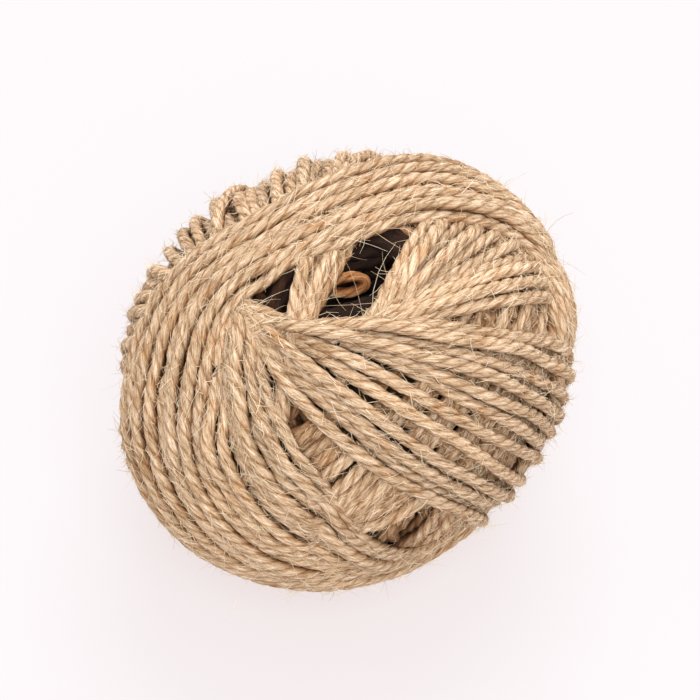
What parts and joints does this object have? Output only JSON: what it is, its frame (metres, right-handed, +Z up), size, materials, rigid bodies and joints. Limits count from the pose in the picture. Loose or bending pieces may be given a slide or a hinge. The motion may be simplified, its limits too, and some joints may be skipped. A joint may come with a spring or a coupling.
{
  "type": "ball of jute twine",
  "caption": "Ball of natural jute twine, its last turns banded over one side of a small eye, resting on a small flat spot.",
  "frame": {"origin": "middle of the flat spot under the ball", "axes": "+Z up, -Y towards the side where the eye faces, +X to its right"},
  "size_m": [0.069, 0.0666, 0.0661],
  "materials": {
    "jute": "matte"
  },
  "bodies": {
    "root": {"twine_ball": "jute"}
  },
  "joints": []
}
